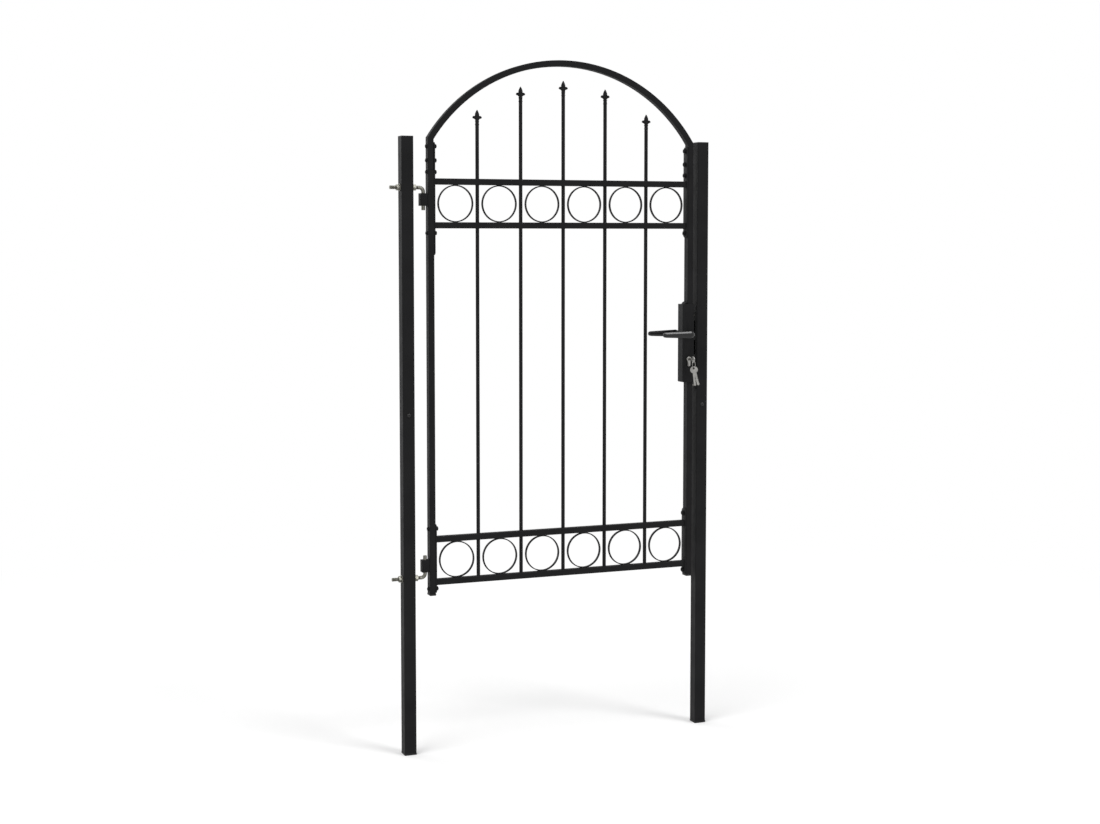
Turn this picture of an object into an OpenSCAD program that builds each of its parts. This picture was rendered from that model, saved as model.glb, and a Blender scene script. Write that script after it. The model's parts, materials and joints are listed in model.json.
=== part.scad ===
// Steel garden gate: one leaf with an arched top, hung between two square posts.
// The origin is the centre of the hinge post's foot. +X runs to the lock post,
// +Y is the side the leaf opens to and +Z is up. All sizes are in millimetres.

/* [Posts] */
// Side of a square post
post_w = 40; // [32:1:60]
// Wall of a post
post_wall = 1.5; // [1:0.1:3]
// Outer corner radius of a post
post_r = 3; // [2:0.5:6]
// Height of a post from foot to cap
post_h = 2000; // [1950:10:2400]
// Thickness of the cap's plate on top of a post
cap_t = 3; // [2:0.5:8]
// Thickness of the foot's plate under a post
foot_t = 6; // [3:0.5:12]
// How far a foot stands out past its post
foot_proud = 0.6; // [0:0.1:2]
// Length of a plug inside its tube
plug_l = 18; // [8:1:40]
// Gap round a plug in its tube
plug_gap = 0.3; // [0.1:0.1:0.6]

/* [Leaf] */
// Width of the leaf over its stiles
leaf_w = 942; // [800:1:1200]
// Height of the leaf's lower end above the post's foot
leaf_z = 517; // [400:1:600]
// Gap between hinge post and hinge stile
hinge_gap = 50; // [48:1:70]
// Gap between lock stile and lock post
lock_gap = 14; // [13:0.5:30]
// Width of a stile, along the gate
stile_w = 20; // [20:1:30]
// Depth of a stile, through the gate
stile_d = 30; // [22:1:34]
// Wall of a stile
stile_wall = 1.5; // [1:0.1:3]
// Outer corner radius of a stile
stile_r = 2.5; // [1.5:0.5:4]
// How far a stile stands above the top rail
stile_rise = 26; // [10:1:60]
// Thickness of the end cap under a stile
stile_cap_t = 6; // [3:0.5:12]
// How far an end cap stands out past its stile
stile_cap_proud = 1; // [0:0.1:2]

/* [Rails and ring bands] */
// Side of a square rail
rail_w = 20; // [16:1:22]
// Wall of a rail
rail_wall = 1.5; // [1:0.1:3]
// Outer corner radius of a rail
rail_r = 2.5; // [1.5:0.5:4]
// Height of the bottom rail above the leaf's lower end
rail_rise = 33; // [20:1:60]
// Clear height of a ring band
band_h = 120; // [100:1:130]
// Clear height between the two ring bands
panel_h = 997; // [900:1:1100]
// Thickness of the strip that a ring is bent from
ring_t = 3; // [2:0.5:5]
// Depth of that strip
ring_d_y = 10; // [6:1:16]
// Gap between a ring and the rail it is welded to
ring_gap = 0.1; // [0.05:0.05:0.3]
// Gap between the outer ring and the end plate
ring_side = 12; // [6:1:20]
// Least gap between a ring and the picket beside it
ring_clear = 5; // [3:0.5:12]
// Thickness of an end plate
plate_t = 4; // [2:0.5:5]
// Corner cut of an end plate
plate_cut = 6; // [2:0.5:9]
// How far the lower end plates reach under the bottom rail
low_plate_drop = 25; // [10:1:26]
// How far the lower end plates reach over the lower band
low_plate_rise = 40; // [20:1:80]
// How far the upper end plates reach under the upper band
top_plate_drop = 85; // [40:1:120]
// The same for the plate on the lock side
lock_plate_drop = 29; // [20:1:120]
// How far the upper end plates reach up the arch from the stile's top
top_plate_rise = 89; // [60:1:92]

/* [Pickets] */
// Diameter of a picket
picket_d = 12; // [10:0.5:14]
// Wall of a picket
picket_wall = 1.2; // [0.8:0.1:2]
// Gap round a picket where it passes through a rail
picket_gap = 0.2; // [0.1:0.05:0.5]
// Radial gap between a finial's tip and the arch
tip_gap = 45.5; // [30:0.5:90]

/* [Finials] */
// Height of a finial
finial_h = 49; // [44:1:60]
// Length, width and thickness of the middle leaf
blade_l = 34; // [30:1:40]
blade_w = 15; // [12:0.5:20]
blade_t = 10; // [7:0.5:14]
// Length, width and thickness of a side leaf
lobe_l = 24; // [20:1:28]
lobe_w = 10; // [8:0.5:12]
lobe_t = 9; // [7:0.5:12]
// Lean of a side leaf from upright
lobe_lean = 68; // [55:1:85]
// Reach of a side leaf's tip from the picket's axis
lobe_reach = 16.5; // [14:0.5:20]
// Depth of a side leaf's tip below the finial's tip
lobe_drop = 21.5; // [18:0.5:26]

/* [Arch] */
// Width of the arch's tube, across its bend
arch_w = 20; // [16:1:20]
// Depth of the arch's tube, through the gate
arch_d = 26; // [20:1:30]
// Wall of the arch's tube
arch_wall = 1.5; // [1:0.1:3]
// Outer corner radius of the arch's tube
arch_corner = 2.5; // [1.5:0.5:4]
// Height of the arch's straight legs, at their outside
leg_h = 104; // [80:1:200]
// Rise of the arch above its legs
arch_rise = 260; // [180:1:360]

/* [Hinges] */
// Diameter of a pintle
pintle_d = 12; // [10:0.5:14]
// Bend radius of a pintle, on its centre line
pintle_bend = 13; // [9:0.5:16]
// How far a pintle stands out behind its post
pintle_tail = 34; // [20:1:60]
// Running clearance of a pintle in its hinge block
pin_clear = 0.05; // [0.02:0.01:0.1]
// Gap round a pintle in the post
pintle_gap = 0.5; // [0.2:0.1:1]
// Height of the lower pintle's rod above the leaf's lower end
low_rod_rise = 60; // [40:1:100]
// Height of the upper pintle's rod below the stile's top
top_rod_drop = 56; // [50:1:110]
// Gap from a pintle's rod to the hinge block, on the centre line
block_gap = 18; // [16:0.5:26]
// Side of a hinge block
block_w = 25; // [20:0.5:30]
// Height of a hinge block
block_h = 40; // [30:1:60]
// Corner radius of a hinge block
block_r = 2; // [1:0.5:4]
// How far the pin stands past its hinge block
pin_past = 14; // [4:1:30]
// Width across the flats of a pintle nut
nut_af = 19; // [18:0.5:24]
// Thickness of a pintle nut
nut_t = 10; // [6:0.5:12]
// Diameter of a washer
washer_d = 24; // [22:0.5:32]
// Thickness of a washer
washer_t = 2.5; // [1.5:0.1:4]
// Gap between thread and nut or washer
thread_gap = 0.1; // [0.05:0.05:0.3]

/* [Lock] */
// Width of the lock case, along the gate
case_w = 43; // [40:0.5:60]
// Depth of the lock case, through the gate
case_d = 40; // [34:1:50]
// Height of the lock case
case_h = 266; // [250:1:320]
// Height of the case's lower end above the leaf's lower end
case_rise = 669; // [500:1:800]
// Wall of the lock case
case_wall = 2; // [1.5:0.1:3]
// Corner radius of the lock case
case_r = 3; // [2.5:0.5:5]
// How far the case stands out past the lock stile, towards the post
case_proud = 3; // [0:0.5:5]
// Thickness of the forend plate
forend_t = 2; // [1.5:0.1:3]
// Width of the forend plate
forend_w = 24; // [20:0.5:28]
// Height of the forend plate
forend_h = 235; // [200:1:245]
// Distance from the forend's face to the spindle's axis
backset = 22.5; // [22:0.5:30]
// Height of the spindle above the case's lower end
spindle_rise = 164; // [140:1:190]
// Side of the square spindle
spindle_w = 8; // [7:0.5:9]
// Gap round the spindle in a lever's socket
spindle_gap = 0.1; // [0.05:0.05:0.2]
// Gap round a bolt head in the forend
bolt_gap = 0.3; // [0.1:0.05:0.6]
// Thickness of the latch and dead bolt heads
bolt_t = 12; // [8:0.5:16]
// Length of the latch and dead bolt heads
bolt_l = 11; // [8:0.5:12]
// Height of the latch head
latch_h = 32; // [20:1:36]
// Height of the latch's middle above the spindle
latch_rise = 24; // [20:1:40]
// Height of the dead bolt head
dead_h = 40; // [24:1:44]
// Depth of the dead bolt's middle below the spindle
dead_drop = 46; // [40:1:52]

/* [Levers] */
// Length of a lever from its axis to its tip
lever_l = 115; // [90:1:140]
// Height of a lever at its hub
hub_h = 24; // [18.5:0.5:26]
// Height of a lever at its tip
tip_h = 16; // [8:0.5:18]
// Thickness of a lever's grip
grip_t = 12; // [9:0.5:18]
// Gap between the case and a lever's grip
lever_stand = 34; // [30:1:50]
// Corner radius of a lever's grip, seen from above
grip_r = 5; // [3:0.5:5.5]
// Radius of the bend from grip to neck, seen from above
bend_r = 12; // [8:0.5:14]
// Diameter of a lever's neck
neck_d = 15; // [14:0.5:18]
// Gap round a lever's neck in the case
neck_gap = 0.3; // [0.1:0.05:0.5]

/* [Cylinder and keys] */
// Depth of the cylinder's axis below the spindle
lock_pitch = 85; // [80:1:95]
// Diameter of the cylinder's round part
cyl_d = 17; // [16:0.5:18]
// Width of the cylinder's narrow part
cyl_w = 10; // [9:0.5:11]
// Height of the cylinder
cyl_h = 33; // [30:0.5:35]
// How far the cylinder stands out of the case
cyl_proud = 4; // [2:0.5:8]
// Gap round the cylinder in the case
cyl_gap = 0.2; // [0.1:0.05:0.4]
// Thickness of a key
key_t = 2.2; // [1.8:0.1:2.5]
// Width of a key's shank
key_w = 8; // [6:0.5:9]
// Length of a key's shank
key_l = 44; // [36:1:50]
// Diameter of a key's bow
bow_d = 23; // [20:0.5:27]
// Diameter of the hole in a key's bow
bow_hole_d = 8; // [7.5:0.5:9]
// Distance of that hole from the bow's middle
bow_hole_off = 5; // [4:0.5:6]
// Gap round the key in the keyway
key_gap = 0.2; // [0.1:0.05:0.3]
// Depth that the key is pushed into the cylinder
key_in = 24; // [16:1:30]
// Diameter of the key ring on its wire's centre line
key_ring_d = 24; // [20:1:32]
// Diameter of the key ring's wire
wire_d = 1.8; // [1.5:0.1:2]

/* [Strike] */
// Thickness of the strike plate
strike_t = 3; // [2:0.5:4]
// Width of the strike plate
strike_w = 34; // [28:1:34]
// Height of the strike plate
strike_h = 262; // [240:1:300]
// Depth of the strike plate's lower end below the lock case
strike_drop = 24; // [10:1:40]
// Gap round a bolt head in its pocket
pocket_gap = 4; // [1:0.5:6]

/* [Hidden] */
$fn = 64;
iron = [0.09, 0.09, 0.10];
plastic = [0.05, 0.05, 0.05];
zinc = [0.66, 0.65, 0.60];
lever_grey = [0.28, 0.28, 0.29];
nickel = [0.75, 0.75, 0.76];

// Stations along the gate
hinge_stile_x = post_w / 2 + hinge_gap;
leaf_mid_x = hinge_stile_x + leaf_w / 2;
leaf_end_x = hinge_stile_x + leaf_w;
lock_post_x = leaf_end_x + lock_gap + post_w / 2;
axis_x = hinge_stile_x - block_w / 2;
rail_x = hinge_stile_x + stile_w + plate_t;
rail_l = leaf_w - 2 * (stile_w + plate_t);

// Heights
low_rail_z = leaf_z + rail_rise;
low_band_top = low_rail_z + 2 * rail_w + band_h;
high_rail_z = low_band_top + panel_h;
high_band_top = high_rail_z + 2 * rail_w + band_h;
rail_zs = [
    low_rail_z,
    low_rail_z + rail_w + band_h,
    high_rail_z,
    high_rail_z + rail_w + band_h
];
stile_top = high_band_top + stile_rise;
low_rod_z = leaf_z + low_rod_rise;
top_rod_z = stile_top - top_rod_drop;

// Rings and pickets share the rail evenly, each picket between two rings
ring_d = band_h - 2 * ring_gap;
ring_room = picket_d + 2 * ring_clear;
ring_n = floor((rail_l - 2 * ring_side + ring_room) / (ring_d + ring_room));
pitch = (rail_l - 2 * ring_side - ring_d) / (ring_n - 1);
picket_n = ring_n - 1;
picket_x = [for (i = [0 : picket_n - 1]) (i - (picket_n - 1) / 2) * pitch];
ring_x = [for (i = [0 : ring_n - 1]) (i - (ring_n - 1) / 2) * pitch];

// Arch: a bow of one radius, mitred onto two straight legs
arch_half = leaf_w / 2 - (stile_w - arch_w);
spring_z = stile_top + leg_h;
arch_out_r = (arch_half * arch_half + arch_rise * arch_rise) / (2 * arch_rise);
arch_in_r = arch_out_r - arch_w;
arch_c = spring_z + arch_rise - arch_out_r;
arch_in_half = arch_half - arch_w;
mitre_drop = spring_z - arch_c - sqrt(arch_in_r * arch_in_r - arch_in_half * arch_in_half);
mitre = atan2(mitre_drop, arch_w);
bow_half_angle = asin(arch_half / arch_out_r) + 4;
leg_over = 2 * arch_w;
cutter = 6 * arch_w;
function tip_z(x) = arch_c + sqrt(pow(arch_in_r - tip_gap, 2) - x * x);

// Lock
case_x1 = leaf_end_x + case_proud;
case_x = case_x1 - case_w / 2;
case_z = leaf_z + case_rise;
face_x = case_x1 + forend_t;
spindle_x = face_x - backset;
spindle_z = case_z + spindle_rise;
latch_z = spindle_z + latch_rise;
dead_z = spindle_z - dead_drop;
cyl_z = spindle_z - lock_pitch;
cyl_end = case_d / 2 + cyl_proud;
grip_y = case_d / 2 + lever_stand;
socket_l = lever_stand / 2;
grip_over = 0.3 * grip_r;
grip_end = neck_d / 2 + 0.5;

// Keys: one in the cylinder, two hanging on a ring through its bow
key_rest = 0.35;
bow_y = -cyl_end + key_in - key_l - bow_d / 2 + 1;
ring_y = bow_y - bow_hole_off;
ring_turn = 40;
spare_turn = 65;
spare_side = 2.6;
spare_tilts = [-8, -22];
ring_top_z = cyl_z - bow_hole_d / 2 + wire_d / 2 + key_rest;
ring_mid_z = ring_top_z - key_ring_d / 2;
spare_hole_z = ring_mid_z - key_ring_d / 2 - bow_hole_d / 2 + wire_d / 2 + 2 * key_rest;

// Flat sections

module soft_rect(size, radius) {
    square([size.x - 2 * radius, size.y], center = true);
    square([size.x, size.y - 2 * radius], center = true);
    for (sx = [-1, 1], sy = [-1, 1])
        translate([sx * (size.x / 2 - radius), sy * (size.y / 2 - radius)])
            circle(r = radius);
}

module tube_section(size, wall, radius) {
    difference() {
        soft_rect(size, radius);
        soft_rect(size - [2 * wall, 2 * wall], max(radius - wall, 0.4));
    }
}

// A bar that narrows from one round end to the other
module tapered_bar(r1, r2, span) {
    circle(r = r1);
    translate([span, 0])
        circle(r = r2);
    polygon([[0, r1], [span, r2], [span, -r2], [0, -r1]]);
}

module cylinder_section(gap) {
    circle(d = cyl_d + 2 * gap);
    tail = cyl_h - cyl_d / 2 - cyl_w / 2;
    translate([0, -tail / 2])
        square([cyl_w + 2 * gap, tail], center = true);
    translate([0, -tail])
        circle(d = cyl_w + 2 * gap);
}

// Outline of a key: bow at the origin, shank along +X
module key_section() {
    difference() {
        union() {
            circle(d = bow_d);
            translate([0, -key_w / 2])
                square([bow_d / 2 + key_l - 1 - key_w / 2, key_w]);
            translate([bow_d / 2 + key_l - 1 - key_w / 2, 0])
                circle(d = key_w, $fn = 4);
        }
        translate([-bow_hole_off, 0])
            circle(d = bow_hole_d);
    }
}

// Placing

// Turns a section drawn in X and Y upright into X and Z, drawn through the gate's depth
module through(depth) {
    rotate([90, 0, 0])
        linear_extrude(depth, center = true)
            children();
}

module along_x(x, z) {
    translate([x, 0, z])
        rotate([0, 90, 0])
            children();
}

// Posts

module post_tube() {
    translate([0, 0, foot_t])
        linear_extrude(post_h - foot_t - cap_t)
            tube_section([post_w, post_w], post_wall, post_r);
}

// A plate that closes a tube, with the plug that holds it there
module tube_end(size, wall, radius, proud, plate) {
    less = 2 * (wall + plug_gap);
    linear_extrude(plate)
        soft_rect(size + [2 * proud, 2 * proud], radius);
    translate([0, 0, plate])
        linear_extrude(plug_l)
            soft_rect(size - [less, less], radius / 2);
}

module post_top() {
    translate([0, 0, post_h])
        mirror([0, 0, 1])
            tube_end([post_w, post_w], post_wall, post_r, 0, cap_t);
}

module post_foot() {
    tube_end([post_w, post_w], post_wall, post_r, foot_proud, foot_t);
}

module hinge_post() {
    color(iron)
        difference() {
            post_tube();
            for (z = [low_rod_z, top_rod_z])
                along_x(0, z)
                    cylinder(d = pintle_d + 2 * pintle_gap, h = 2 * post_w, center = true);
        }
}

module lock_post() {
    color(iron)
        difference() {
            translate([lock_post_x, 0, 0])
                post_tube();
            bolt_heads(pocket_gap, lock_post_x - post_w / 2 - strike_t, strike_t + 2 * post_wall);
        }
}

// The two bolt heads as boxes, also used to cut their pockets
module bolt_heads(gap, x, length) {
    for (head = [[latch_z, latch_h], [dead_z, dead_h]])
        translate([x, -bolt_t / 2 - gap, head[0] - head[1] / 2 - gap])
            cube([length, bolt_t + 2 * gap, head[1] + 2 * gap]);
}

module strike_plate() {
    color(iron)
        difference() {
            along_x(lock_post_x - post_w / 2 - strike_t, case_z - strike_drop + strike_h / 2)
                linear_extrude(strike_t)
                    soft_rect([strike_h, strike_w], plate_cut / 2);
            bolt_heads(pocket_gap, lock_post_x - post_w / 2 - 2 * strike_t, 3 * strike_t);
        }
}

// Hinges

// An L of round bar with its rod along X and its pin upright, for a rod at height 0
module pintle_bar() {
    pin_l = block_gap + block_h + pin_past - pintle_bend;
    along_x(-post_w / 2 - pintle_tail, 0)
        cylinder(d = pintle_d, h = post_w / 2 + pintle_tail + axis_x - pintle_bend);
    translate([axis_x - pintle_bend, 0, pintle_bend])
        rotate([90, 0, 0])
            rotate([0, 0, -90])
                rotate_extrude(angle = 90)
                    translate([pintle_bend, 0])
                        circle(d = pintle_d);
    translate([axis_x, 0, pintle_bend])
        cylinder(d = pintle_d, h = pin_l);
}

module lower_pintle() {
    color(zinc)
        translate([0, 0, low_rod_z])
            pintle_bar();
}

module upper_pintle() {
    color(zinc)
        translate([0, 0, top_rod_z])
            mirror([0, 0, 1])
                pintle_bar();
}

// Copies a child to both faces of the hinge post, on both pintles
module at_post_faces(off) {
    for (z = [low_rod_z, top_rod_z], side = [0, 1])
        mirror([side, 0, 0])
            along_x(post_w / 2 + off, z)
                children();
}

module pintle_washers() {
    color(zinc)
        at_post_faces(0)
            difference() {
                cylinder(d = washer_d, h = washer_t);
                translate([0, 0, -washer_t])
                    cylinder(d = pintle_d + 2 * thread_gap, h = 3 * washer_t);
            }
}

module pintle_nuts() {
    color(zinc)
        at_post_faces(washer_t)
            difference() {
                cylinder(d = nut_af / cos(30), h = nut_t, $fn = 6);
                translate([0, 0, -nut_t])
                    cylinder(d = pintle_d + 2 * thread_gap, h = 3 * nut_t);
            }
}

module hinge_block(z) {
    color(iron)
        translate([axis_x, 0, z])
            difference() {
                linear_extrude(block_h)
                    soft_rect([block_w, block_w], block_r);
                translate([0, 0, -block_h])
                    cylinder(d = pintle_d + 2 * pin_clear, h = 3 * block_h);
            }
}

module upper_hinge_block() {
    hinge_block(top_rod_z - block_gap - block_h);
}

module lower_hinge_block() {
    hinge_block(low_rod_z + block_gap);
}

// Leaf

module stile_length(x, z0, z1) {
    color(iron)
        translate([x, 0, z0])
            linear_extrude(z1 - z0)
                tube_section([stile_w, stile_d], stile_wall, stile_r);
}

module hinge_stile() {
    stile_length(hinge_stile_x + stile_w / 2, leaf_z + stile_cap_t, stile_top);
}

// The lock case takes the stile's place between two lengths of tube
module lock_stile() {
    x = leaf_end_x - stile_w / 2;
    stile_length(x, leaf_z + stile_cap_t, case_z);
    stile_length(x, case_z + case_h, stile_top);
}

module stile_cap(x) {
    color(plastic)
        translate([x, 0, leaf_z])
            tube_end([stile_w, stile_d], stile_wall, stile_r, stile_cap_proud, stile_cap_t);
}

// Cuts away one side of the mitre between bow and leg: below it, or above it with over = 1
module mitre_cut(over) {
    translate([arch_half, 0, spring_z])
        rotate([0, -mitre, 0])
            translate([-cutter / 2, -cutter / 2, (over - 1) * cutter])
                cube(cutter);
}

module arch_leg() {
    difference() {
        translate([arch_half - arch_w / 2, 0, stile_top])
            linear_extrude(leg_h + leg_over)
                tube_section([arch_w, arch_d], arch_wall, arch_corner);
        mitre_cut(1);
    }
}

module arch_bow() {
    difference() {
        translate([0, 0, arch_c])
            rotate([90, 0, 0])
                rotate([0, 0, 90 - bow_half_angle])
                    rotate_extrude(angle = 2 * bow_half_angle, $fn = 360)
                        translate([arch_out_r - arch_w / 2, 0])
                            tube_section([arch_w, arch_d], arch_wall, arch_corner);
        for (side = [0, 1])
            mirror([side, 0, 0])
                mitre_cut(0);
    }
}

module arch() {
    color(iron)
        translate([leaf_mid_x, 0, 0])
            arch_bow();
}

module arch_legs() {
    color(iron)
        translate([leaf_mid_x, 0, 0])
            for (side = [0, 1])
                mirror([side, 0, 0])
                    arch_leg();
}

// A flat bar with its corners cut, on the inner face of a stile
module end_plate(x, z0, z1) {
    long = z1 - z0;
    color(iron)
        along_x(x, (z0 + z1) / 2)
            linear_extrude(plate_t)
                difference() {
                    square([long, stile_d], center = true);
                    for (sx = [-1, 1], sy = [-1, 1])
                        translate([sx * long / 2, sy * stile_d / 2])
                            rotate(45)
                                square(plate_cut * sqrt(2), center = true);
                }
}

module lower_plate(x) {
    end_plate(x, low_rail_z - low_plate_drop, low_band_top + low_plate_rise);
}

module upper_plate(x, drop) {
    end_plate(x, high_rail_z - drop, stile_top + top_plate_rise);
}

module rail(z) {
    drilled = z > low_rail_z;
    color(iron)
        difference() {
            along_x(rail_x, z + rail_w / 2)
                linear_extrude(rail_l)
                    tube_section([rail_w, rail_w], rail_wall, rail_r);
            if (drilled)
                for (x = picket_x)
                    translate([leaf_mid_x + x, 0, z - rail_w])
                        cylinder(d = picket_d + 2 * picket_gap, h = 3 * rail_w);
        }
}

module ring_row(z) {
    color(iron)
        for (x = ring_x)
            translate([leaf_mid_x + x, 0, z + rail_w + band_h / 2])
                through(ring_d_y)
                    difference() {
                        circle(d = ring_d, $fn = 128);
                        circle(d = ring_d - 2 * ring_t, $fn = 128);
                    }
}

module picket(i) {
    base = low_rail_z + rail_w;
    color(iron)
        translate([leaf_mid_x + picket_x[i], 0, base])
            difference() {
                cylinder(d = picket_d, h = tip_z(picket_x[i]) - finial_h - base);
                translate([0, 0, -picket_d])
                    cylinder(d = picket_d - 2 * picket_wall, h = 2 * post_h);
            }
}

// A pointed leaf: two pairs of crossed round faces, centred on the origin
module leaf_form(long, wide, thick) {
    blunt = long * 1.06;
    wide_r = (long * long + wide * wide) / (4 * wide);
    thick_r = (blunt * blunt + thick * thick) / (4 * thick);
    intersection() {
        for_both(wide_r - wide / 2, [1, 0, 0])
            rotate([90, 0, 0])
                cylinder(r = wide_r, h = 2 * thick, center = true, $fn = 128);
        for_both(thick_r - thick / 2, [0, 1, 0])
            rotate([0, 90, 0])
                cylinder(r = thick_r, h = 2 * wide, center = true, $fn = 128);
    }
}

// What two copies of a child, shifted both ways, have in common
module for_both(shift, dir) {
    intersection() {
        translate(shift * dir)
            children();
        translate(-shift * dir)
            children();
    }
}

// A cast spear top: beaded neck, middle leaf and two side leaves
module finial() {
    neck_r = picket_d / 2 - 0.4;
    bead_r = picket_d / 5;
    hub_z = finial_h - lobe_drop - 4;
    hub_r = picket_d / 2 + 0.8;
    cylinder(r = neck_r, h = hub_z);
    for (z = [finial_h - 41, finial_h - 32])
        translate([0, 0, z])
            rotate_extrude()
                translate([neck_r - 0.6, 0])
                    circle(r = bead_r);
    translate([0, 0, hub_z])
        sphere(r = hub_r);
    translate([0, 0, finial_h - blade_l / 2])
        leaf_form(blade_l, blade_w, blade_t);
    for (side = [0, 1])
        mirror([side, 0, 0])
            translate([lobe_reach, 0, finial_h - lobe_drop])
                rotate([0, lobe_lean, 0])
                    translate([0, 0, -lobe_l / 2])
                        leaf_form(lobe_l, lobe_w, lobe_t);
}

module finials() {
    color(iron)
        for (x = picket_x)
            translate([leaf_mid_x + x, 0, tip_z(x) - finial_h])
                finial();
}

// Lock

module lock_case() {
    color(iron)
        difference() {
            translate([case_x, 0, case_z])
                difference() {
                    linear_extrude(case_h)
                        soft_rect([case_w, case_d], case_r);
                    translate([0, 0, case_wall])
                        linear_extrude(case_h - 2 * case_wall)
                            soft_rect([case_w - 2 * case_wall, case_d - 2 * case_wall], case_r - case_wall);
                }
            translate([spindle_x, 0, spindle_z])
                through(2 * case_d)
                    circle(d = neck_d + 2 * neck_gap);
            translate([spindle_x, 0, cyl_z])
                through(2 * case_d)
                    cylinder_section(cyl_gap);
            bolt_heads(bolt_gap, case_x1 - 2 * case_wall, 4 * case_wall);
        }
}

module lock_forend() {
    color(nickel)
        difference() {
            along_x(case_x1, case_z + case_h / 2)
                linear_extrude(forend_t)
                    soft_rect([forend_h, forend_w], plate_cut / 2);
            bolt_heads(bolt_gap, case_x1 - forend_t, 3 * forend_t);
        }
}

// Latch and dead bolt, drawn back flush with the forend
module lock_bolts() {
    color(nickel)
        bolt_heads(0, face_x - bolt_l, bolt_l);
}

module lock_cylinder() {
    color(nickel)
        translate([spindle_x, 0, cyl_z])
            difference() {
                through(2 * cyl_end)
                    cylinder_section(0);
                through(3 * cyl_end)
                    square([key_t + 2 * key_gap, key_w + 2 * key_gap], center = true);
            }
}

module key_plate() {
    linear_extrude(key_t, center = true)
        key_section();
}

module lock_key() {
    color(nickel)
        translate([spindle_x, bow_y, cyl_z])
            rotate([90, 0, 90])
                key_plate();
}

module key_ring() {
    color(nickel)
        translate([spindle_x, ring_y, ring_mid_z])
            rotate([0, 0, ring_turn])
                rotate([90, 0, 0])
                    rotate_extrude()
                        translate([key_ring_d / 2, 0])
                            circle(d = wire_d, $fn = 24);
}

module spare_keys() {
    color(nickel)
        for (i = [0, 1])
            translate([spindle_x, ring_y, spare_hole_z])
                rotate([0, 0, ring_turn])
                    translate([(2 * i - 1) * spare_side, 0, 0])
                        rotate([0, 0, spare_turn - ring_turn])
                            rotate([spare_tilts[i], 0, 0])
                                rotate([0, 90, 0])
                                    translate([bow_hole_off, 0, 0])
                                        key_plate();
}

// A grip seen from above, rounded where it bends round to its neck
module grip_plan() {
    long = lever_l + grip_over + grip_end;
    difference() {
        union() {
            translate([grip_end - long / 2, -grip_y - grip_t / 2])
                soft_rect([long, grip_t], grip_r);
            translate([0, -grip_y - grip_t])
                square([grip_end, grip_t]);
        }
        translate([grip_end - bend_r, bend_r - grip_y - grip_t])
            difference() {
                translate([0, -2 * bend_r])
                    square(2 * bend_r);
                circle(r = bend_r);
            }
    }
}

// The front lever, with its axis on the origin's Y line and its grip towards -X
module lever() {
    neck_l = lever_stand + case_wall + grip_t / 8;
    socket_w = spindle_w + 2 * spindle_gap;
    difference() {
        union() {
            translate([0, -case_d / 2 + case_wall, 0])
                rotate([90, 0, 0])
                    cylinder(d = neck_d, h = neck_l);
            intersection() {
                translate([0, -grip_y - grip_t / 2, 0])
                    through(2 * grip_t)
                        mirror([1, 0])
                            tapered_bar(hub_h / 2, tip_h / 2, lever_l - tip_h / 2);
                translate([0, 0, -hub_h])
                    linear_extrude(2 * hub_h)
                        grip_plan();
            }
        }
        translate([0, -case_d / 2 - socket_l / 2 + case_wall, 0])
            cube([socket_w, socket_l + case_wall, socket_w], center = true);
    }
}

module front_lever() {
    color(lever_grey)
        translate([spindle_x, 0, spindle_z])
            lever();
}

module back_lever() {
    color(lever_grey)
        translate([spindle_x, 0, spindle_z])
            mirror([0, 1, 0])
                lever();
}

module spindle() {
    color(zinc)
        translate([spindle_x, 0, spindle_z])
            cube([spindle_w, case_d + 2 * (socket_l - 2 * case_wall), spindle_w], center = true);
}

// What is drawn

hinge_post();
lock_post();
color(plastic) post_top();  // hinge_post_cap
color(plastic) translate([lock_post_x, 0, 0]) post_top();  // lock_post_cap
color(plastic) post_foot();  // hinge_post_foot
color(plastic) translate([lock_post_x, 0, 0]) post_foot();  // lock_post_foot
upper_pintle();
lower_pintle();
pintle_nuts();
pintle_washers();
strike_plate();
hinge_stile();
lock_stile();
stile_cap(hinge_stile_x + stile_w / 2);  // hinge_stile_cap
stile_cap(leaf_end_x - stile_w / 2);  // lock_stile_cap
arch();
arch_legs();
upper_plate(rail_x - plate_t, top_plate_drop);  // upper_hinge_plate
upper_plate(rail_x + rail_l, lock_plate_drop);  // upper_lock_plate
lower_plate(rail_x - plate_t);  // lower_hinge_plate
lower_plate(rail_x + rail_l);  // lower_lock_plate
rail(rail_zs[0]);  // bottom_rail
rail(rail_zs[1]);  // lower_band_rail
rail(rail_zs[2]);  // upper_band_rail
rail(rail_zs[3]);  // top_rail
ring_row(high_rail_z);  // upper_rings
ring_row(low_rail_z);  // lower_rings
for (i = [1 : picket_n])
    picket(i - 1);
finials();
upper_hinge_block();
lower_hinge_block();
lock_case();
lock_forend();
lock_bolts();
lock_cylinder();
lock_key();
key_ring();
spare_keys();
front_lever();
back_lever();
spindle();
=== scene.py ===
# %% [markdown]
# # A steel garden gate
#
# This lesson dresses a garden gate: one leaf of black powder-coated tube with an arched top,
# hung on pintles between two square posts, with a lever lock and its keys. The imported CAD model
# gives every tube, rail, ring and plate at its true size, and nothing of it is moved. Blender adds
# what such a model leaves out: finishes, threads, fasteners, welds, cast forms and cut keys.

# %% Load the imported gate
import json
import math

import bmesh
import bpy
from mathutils import Matrix, Vector


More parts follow.
